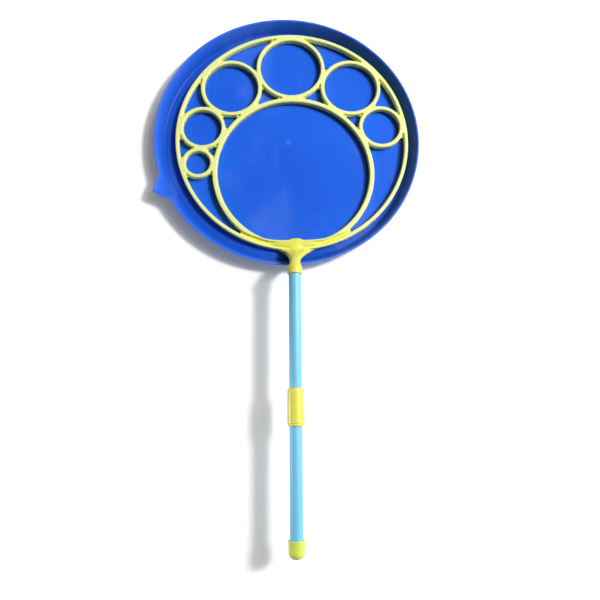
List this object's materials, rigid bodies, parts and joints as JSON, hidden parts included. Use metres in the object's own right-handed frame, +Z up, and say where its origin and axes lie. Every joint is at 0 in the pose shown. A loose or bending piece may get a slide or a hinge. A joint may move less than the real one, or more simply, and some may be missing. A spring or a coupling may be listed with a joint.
{
  "type": "bubble wand with dip tray",
  "caption": "Large bubble wand with a flat multi-loop head and a two-section push-fit tube handle, lying in a round shallow dip tray with a pouring spout.",
  "frame": {"origin": "centre of the dip tray's flat underside", "axes": "+Z up out of the tray, the wand's handle along -Y and its loop head towards +Y, +X to the right when the handle points at the viewer"},
  "size_m": [0.301, 0.5912, 0.0464],
  "materials": {
    "blue_plastic": "glossy moulded polypropylene, royal blue",
    "yellow_plastic": "semi-gloss moulded polypropylene, lemon yellow",
    "yellow_trim": "semi-gloss moulded polypropylene, warm yellow",
    "sky_blue_plastic": "smooth extruded tube, sky blue"
  },
  "bodies": {
    "tray": {"dip_tray": "blue_plastic"},
    "head": {"loop_head": "yellow_plastic"},
    "upper_section": {"upper_tube": "sky_blue_plastic", "coupler": "yellow_trim"},
    "lower_section": {"lower_tube": "sky_blue_plastic", "end_cap": "yellow_trim"}
  },
  "joints": [
    {"name": "wand_lift", "type": "slide", "parent": "tray", "child": "head", "axis": [0, 0, 1], "range_m": [0, 0.2]},
    {"name": "handle_pull", "type": "slide", "parent": "head", "child": "upper_section", "axis": [0, -1, 0], "range_m": [0, 0.03]},
    {"name": "lower_tube_pull", "type": "slide", "parent": "upper_section", "child": "lower_section", "axis": [0, -1, 0], "range_m": [0, 0.04]}
  ]
}
